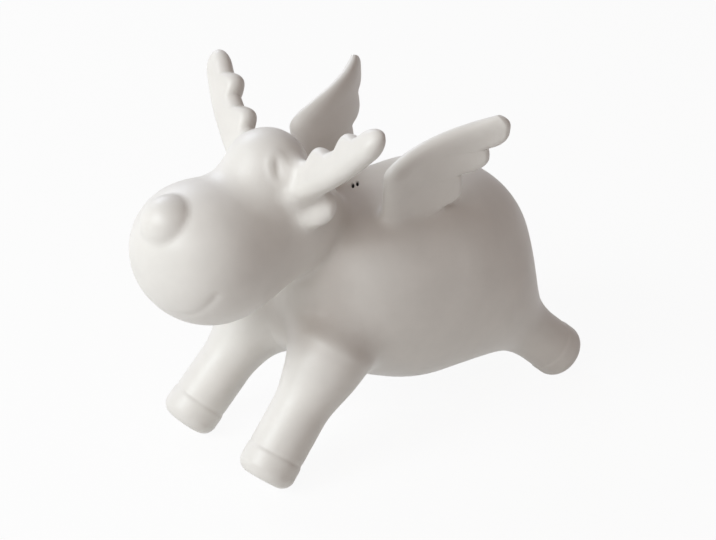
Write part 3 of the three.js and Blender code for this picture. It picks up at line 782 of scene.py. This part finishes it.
def add_piece(name, mesh):
    points, faces = mesh
    data = bpy.data.meshes.new(name)
    data.from_pydata((points * MM).tolist(), [], faces)
    data.validate()
    data.shade_smooth()
    data.materials.append(bisque)
    if name == "body":
        # The hole mask is painted shade: it grows with depth inside the thread holes, where the material
        # paints the walls near black
        hollow = data.attributes.new("hollow", "FLOAT", "POINT")
        hollow.data.foreach_set("value", smooth(-outside(body_casting, points), *THREAD_HOLE_PAINTED_SHADE))
    piece = bpy.data.objects.new("bisque_" + name, data)
    bpy.context.scene.collection.objects.link(piece)
    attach(piece, "root")
    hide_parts(name)


plain = {"body": body_mesh(), "head": head_mesh(), "nose": nose_mesh(), "tail": tail_mesh()}
plain["left_antler"] = antler_mesh()
plain["right_antler"] = mirrored(*antler_mesh())
plain["left_ear"] = ear_mesh()
plain["right_ear"] = mirrored(*ear_mesh())
plain["left_wing"] = wing_mesh(**LEFT_WING)
plain["right_wing"] = mirrored(*wing_mesh(**RIGHT_WING))
plain["front_left_leg"] = leg_mesh(FRONT_HIP, FRONT_LEFT_SOLE)
plain["front_right_leg"] = mirrored(*leg_mesh(FRONT_HIP, FRONT_RIGHT_SOLE))
plain["rear_left_leg"] = leg_mesh(REAR_HIP, REAR_SOLE)
plain["rear_right_leg"] = mirrored(*leg_mesh(REAR_HIP, REAR_SOLE))

joints = [("body", "head", NECK_SLIP), ("body", "tail", TAIL_SLIP), ("head", "nose", NOSE_SLIP)]
for side in ("left", "right"):
    joints.append(("head", side + "_antler", ANTLER_SLIP))
    joints.append(("head", side + "_ear", EAR_SLIP))
    joints.append((side + "_antler", side + "_ear", EAR_TO_ANTLER_SLIP))
    joints.append(("body", side + "_wing", WING_SLIP))
    joints.append(("body", "front_" + side + "_leg", FRONT_LEG_SLIP))
    joints.append(("body", "rear_" + side + "_leg", REAR_LEG_SLIP))

gaps = {name: mesh_gap(*mesh) for name, mesh in plain.items()}
corners = {name: (mesh[0].min(0), mesh[0].max(0)) for name, mesh in plain.items()}
for name, mesh in plain.items():
    met = [(b if a == name else a, reach) for a, b, reach in joints if name in (a, b)]
    points, faces = sponge(mesh, [(gaps[other], corners[other], reach) for other, reach in met])
    if name.endswith("leg"):
        points[:, 2] = np.maximum(points[:, 2], 0)  # the hooves are ground level
    add_piece(name, (points, faces))


# Studio

def studio():
    bpy.ops.mesh.primitive_circle_add(vertices=96, radius=FLOOR_RADIUS * MM, fill_type="NGON")
    floor = bpy.context.object
    floor.name = "paper_floor"
    floor.data.materials.append(studio_paper())

    world = bpy.data.worlds.new("studio_air")
    bpy.context.scene.world = world
    world.use_nodes = True
    tree = world.node_tree
    tree.nodes.clear()
    fill = node(tree, "ShaderNodeBackground", {"Color": linear(FILL_COLOUR), "Strength": FILL_STRENGTH})
    white = node(tree, "ShaderNodeBackground", {"Color": linear("ffffff"), "Strength": BACKDROP_WHITE})
    mix = node(tree, "ShaderNodeMixShader", {
        0: seen_rays(tree), 1: fill.outputs["Background"], 2: white.outputs["Background"]})
    node(tree, "ShaderNodeOutputWorld", {"Surface": mix.outputs["Shader"]})


def aim(obj, location, target):
    """Places a camera or a lamp and turns it to a target."""
    obj.location = location
    obj.rotation_euler = (Vector(target) - Vector(location)).to_track_quat("-Z", "Y").to_euler()
    bpy.context.scene.collection.objects.link(obj)


def camera_and_lamps():
    target = np.array([0, BARREL_BACK - TARGET_FORWARD, TARGET_RISE]) * MM
    lens = bpy.data.cameras.new("product_lens")
    lens.sensor_fit = "HORIZONTAL"
    lens.angle = 2 * math.atan(PICTURE_WIDTH / 2 / CAMERA_DISTANCE)
    lens.clip_start = 0.01
    camera = bpy.data.objects.new("product_camera", lens)
    aim(camera, target + way(CAMERA_BEARING, CAMERA_HEIGHT) * CAMERA_DISTANCE * MM, target)
    bpy.context.scene.camera = camera
    for name, watts, colour, bearing, height in SOFTBOXES:
        lamp = bpy.data.lights.new(name, "AREA")
        lamp.energy = watts
        lamp.color = linear(colour)[:3]
        lamp.shape = "DISK"
        lamp.size = SOFTBOX_SIZE * MM
        away = way(bearing, height) * SOFTBOX_DISTANCE * MM
        aim(bpy.data.objects.new(name, lamp), target + away, target)


studio()
camera_and_lamps()
bpy.context.scene.view_settings.view_transform = "Standard"
